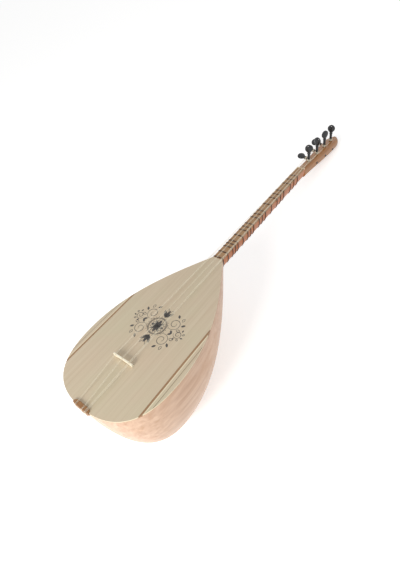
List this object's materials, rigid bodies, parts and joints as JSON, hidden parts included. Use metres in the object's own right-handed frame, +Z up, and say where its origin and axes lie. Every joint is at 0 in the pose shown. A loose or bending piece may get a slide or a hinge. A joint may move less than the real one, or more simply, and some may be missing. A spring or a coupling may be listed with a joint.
{
  "type": "short-neck saz",
  "caption": "Short-neck long-lute with a deep carved bowl, flat soundboard, tied frets, loose bridge and friction pegs, lying on its back.",
  "frame": {"origin": "middle of the bottom of the whole instrument as it lies on its back", "axes": "+Y from the tail to the head, +Z up, +X to the treble side"},
  "size_m": [0.257, 1.0152, 0.2305],
  "materials": {
    "bowl_wood": "satin pale lacquer",
    "board_wood": "satin",
    "strip_wood": "satin",
    "tail_wood": "satin",
    "bridge_wood": "satin",
    "neck_wood": "satin lacquer",
    "fingerboard_wood": "satin",
    "nut_bone": "satin bone white",
    "head_wood": "satin lacquer",
    "brace_wood": "bare",
    "fret_cord": "dark brown nylon",
    "peg_black": "gloss black",
    "string_steel": "drawn wire"
  },
  "bodies": {
    "saz": {"bowl": "bowl_wood", "soundboard_centre": "board_wood", "soundboard_wing_bass": "board_wood", "soundboard_wing_treble": "board_wood", "inlay_strip_bass": "strip_wood", "inlay_strip_treble": "strip_wood", "tailpiece": "tail_wood", "neck": "neck_wood", "fingerboard": "fingerboard_wood", "nut": "nut_bone", "head": "head_wood", "brace_lower": "brace_wood", "brace_upper": "brace_wood", "string_1": "string_steel", "string_2": "string_steel", "string_3": "string_steel", "string_4": "string_steel", "string_5": "string_steel", "string_6": "string_steel", "string_7": "string_steel"},
    "loose_bridge": {"bridge": "bridge_wood"},
    "fret_01_loop": {"fret_01": "fret_cord"},
    "fret_02_loop": {"fret_02": "fret_cord"},
    "fret_03_loop": {"fret_03": "fret_cord"},
    "fret_04_loop": {"fret_04": "fret_cord"},
    "fret_05_loop": {"fret_05": "fret_cord"},
    "fret_06_loop": {"fret_06": "fret_cord"},
    "fret_07_loop": {"fret_07": "fret_cord"},
    "fret_08_loop": {"fret_08": "fret_cord"},
    "fret_09_loop": {"fret_09": "fret_cord"},
    "fret_10_loop": {"fret_10": "fret_cord"},
    "fret_11_loop": {"fret_11": "fret_cord"},
    "fret_12_loop": {"fret_12": "fret_cord"},
    "fret_13_loop": {"fret_13": "fret_cord"},
    "fret_14_loop": {"fret_14": "fret_cord"},
    "fret_15_loop": {"fret_15": "fret_cord"},
    "fret_16_loop": {"fret_16": "fret_cord"},
    "fret_17_loop": {"fret_17": "fret_cord"},
    "fret_18_loop": {"fret_18": "fret_cord"},
    "fret_19_loop": {"fret_19": "fret_cord"},
    "front_peg_1_turning": {"front_peg_1": "peg_black", "front_winding_1": "string_steel"},
    "front_peg_2_turning": {"front_peg_2": "peg_black", "front_winding_2": "string_steel"},
    "front_peg_3_turning": {"front_peg_3": "peg_black", "front_winding_3": "string_steel"},
    "front_peg_4_turning": {"front_peg_4": "peg_black", "front_winding_4": "string_steel"},
    "side_peg_1_turning": {"side_peg_1": "peg_black", "side_winding_1": "string_steel"},
    "side_peg_2_turning": {"side_peg_2": "peg_black", "side_winding_2": "string_steel"},
    "side_peg_3_turning": {"side_peg_3": "peg_black", "side_winding_3": "string_steel"}
  },
  "joints": [
    {"name": "bridge_slide", "type": "slide", "parent": "saz", "child": "loose_bridge", "axis": [0, 0.9833, -0.1819], "range_m": [-0.003, 0.003]},
    {"name": "fret_01_slide", "type": "slide", "parent": "saz", "child": "fret_01_loop", "axis": [0, 0.9833, -0.1819], "range_m": [-0.003, 0.003]},
    {"name": "fret_02_slide", "type": "slide", "parent": "saz", "child": "fret_02_loop", "axis": [0, 0.9833, -0.1819], "range_m": [-0.003, 0.003]},
    {"name": "fret_03_slide", "type": "slide", "parent": "saz", "child": "fret_03_loop", "axis": [0, 0.9833, -0.1819], "range_m": [-0.003, 0.003]},
    {"name": "fret_04_slide", "type": "slide", "parent": "saz", "child": "fret_04_loop", "axis": [0, 0.9833, -0.1819], "range_m": [-0.003, 0.003]},
    {"name": "fret_05_slide", "type": "slide", "parent": "saz", "child": "fret_05_loop", "axis": [0, 0.9833, -0.1819], "range_m": [-0.003, 0.003]},
    {"name": "fret_06_slide", "type": "slide", "parent": "saz", "child": "fret_06_loop", "axis": [0, 0.9833, -0.1819], "range_m": [-0.003, 0.003]},
    {"name": "fret_07_slide", "type": "slide", "parent": "saz", "child": "fret_07_loop", "axis": [0, 0.9833, -0.1819], "range_m": [-0.003, 0.003]},
    {"name": "fret_08_slide", "type": "slide", "parent": "saz", "child": "fret_08_loop", "axis": [0, 0.9833, -0.1819], "range_m": [-0.003, 0.003]},
    {"name": "fret_09_slide", "type": "slide", "parent": "saz", "child": "fret_09_loop", "axis": [0, 0.9833, -0.1819], "range_m": [-0.003, 0.003]},
    {"name": "fret_10_slide", "type": "slide", "parent": "saz", "child": "fret_10_loop", "axis": [0, 0.9833, -0.1819], "range_m": [-0.003, 0.003]},
    {"name": "fret_11_slide", "type": "slide", "parent": "saz", "child": "fret_11_loop", "axis": [0, 0.9833, -0.1819], "range_m": [-0.003, 0.003]},
    {"name": "fret_12_slide", "type": "slide", "parent": "saz", "child": "fret_12_loop", "axis": [0, 0.9833, -0.1819], "range_m": [-0.003, 0.003]},
    {"name": "fret_13_slide", "type": "slide", "parent": "saz", "child": "fret_13_loop", "axis": [0, 0.9833, -0.1819], "range_m": [-0.003, 0.003]},
    {"name": "fret_14_slide", "type": "slide", "parent": "saz", "child": "fret_14_loop", "axis": [0, 0.9833, -0.1819], "range_m": [-0.003, 0.003]},
    {"name": "fret_15_slide", "type": "slide", "parent": "saz", "child": "fret_15_loop", "axis": [0, 0.9833, -0.1819], "range_m": [-0.003, 0.003]},
    {"name": "fret_16_slide", "type": "slide", "parent": "saz", "child": "fret_16_loop", "axis": [0, 0.9833, -0.1819], "range_m": [-0.003, 0.003]},
    {"name": "fret_17_slide", "type": "slide", "parent": "saz", "child": "fret_17_loop", "axis": [0, 0.9833, -0.1819], "range_m": [-0.003, 0.003]},
    {"name": "fret_18_slide", "type": "slide", "parent": "saz", "child": "fret_18_loop", "axis": [0, 0.9833, -0.1819], "range_m": [-0.003, 0.003]},
    {"name": "fret_19_slide", "type": "slide", "parent": "saz", "child": "fret_19_loop", "axis": [0, 0.9833, -0.1819], "range_m": [0, 0.003]},
    {"name": "front_peg_1_turn", "type": "hinge", "parent": "saz", "child": "front_peg_1_turning", "pos_m": [0, 0.34951, 0.08645], "axis": [0, 0.2585, 0.966], "continuous": true},
    {"name": "front_peg_2_turn", "type": "hinge", "parent": "saz", "child": "front_peg_2_turning", "pos_m": [0, 0.39781, 0.07352], "axis": [0, 0.2585, 0.966], "continuous": true},
    {"name": "front_peg_3_turn", "type": "hinge", "parent": "saz", "child": "front_peg_3_turning", "pos_m": [0, 0.44321, 0.06137], "axis": [0, 0.2585, 0.966], "continuous": true},
    {"name": "front_peg_4_turn", "type": "hinge", "parent": "saz", "child": "front_peg_4_turning", "pos_m": [0, 0.48378, 0.05052], "axis": [0, 0.2585, 0.966], "continuous": true},
    {"name": "side_peg_1_turn", "type": "hinge", "parent": "saz", "child": "side_peg_1_turning", "pos_m": [-0.02347, 0.36736, 0.05278], "axis": [-0.974, 0.133, 0.1834], "continuous": true},
    {"name": "side_peg_2_turn", "type": "hinge", "parent": "saz", "child": "side_peg_2_turning", "pos_m": [-0.02572, 0.41501, 0.04054], "axis": [-0.974, 0.133, 0.1834], "continuous": true},
    {"name": "side_peg_3_turn", "type": "hinge", "parent": "saz", "child": "side_peg_3_turning", "pos_m": [-0.02696, 0.45865, 0.02914], "axis": [-0.974, 0.133, 0.1834], "continuous": true}
  ]
}
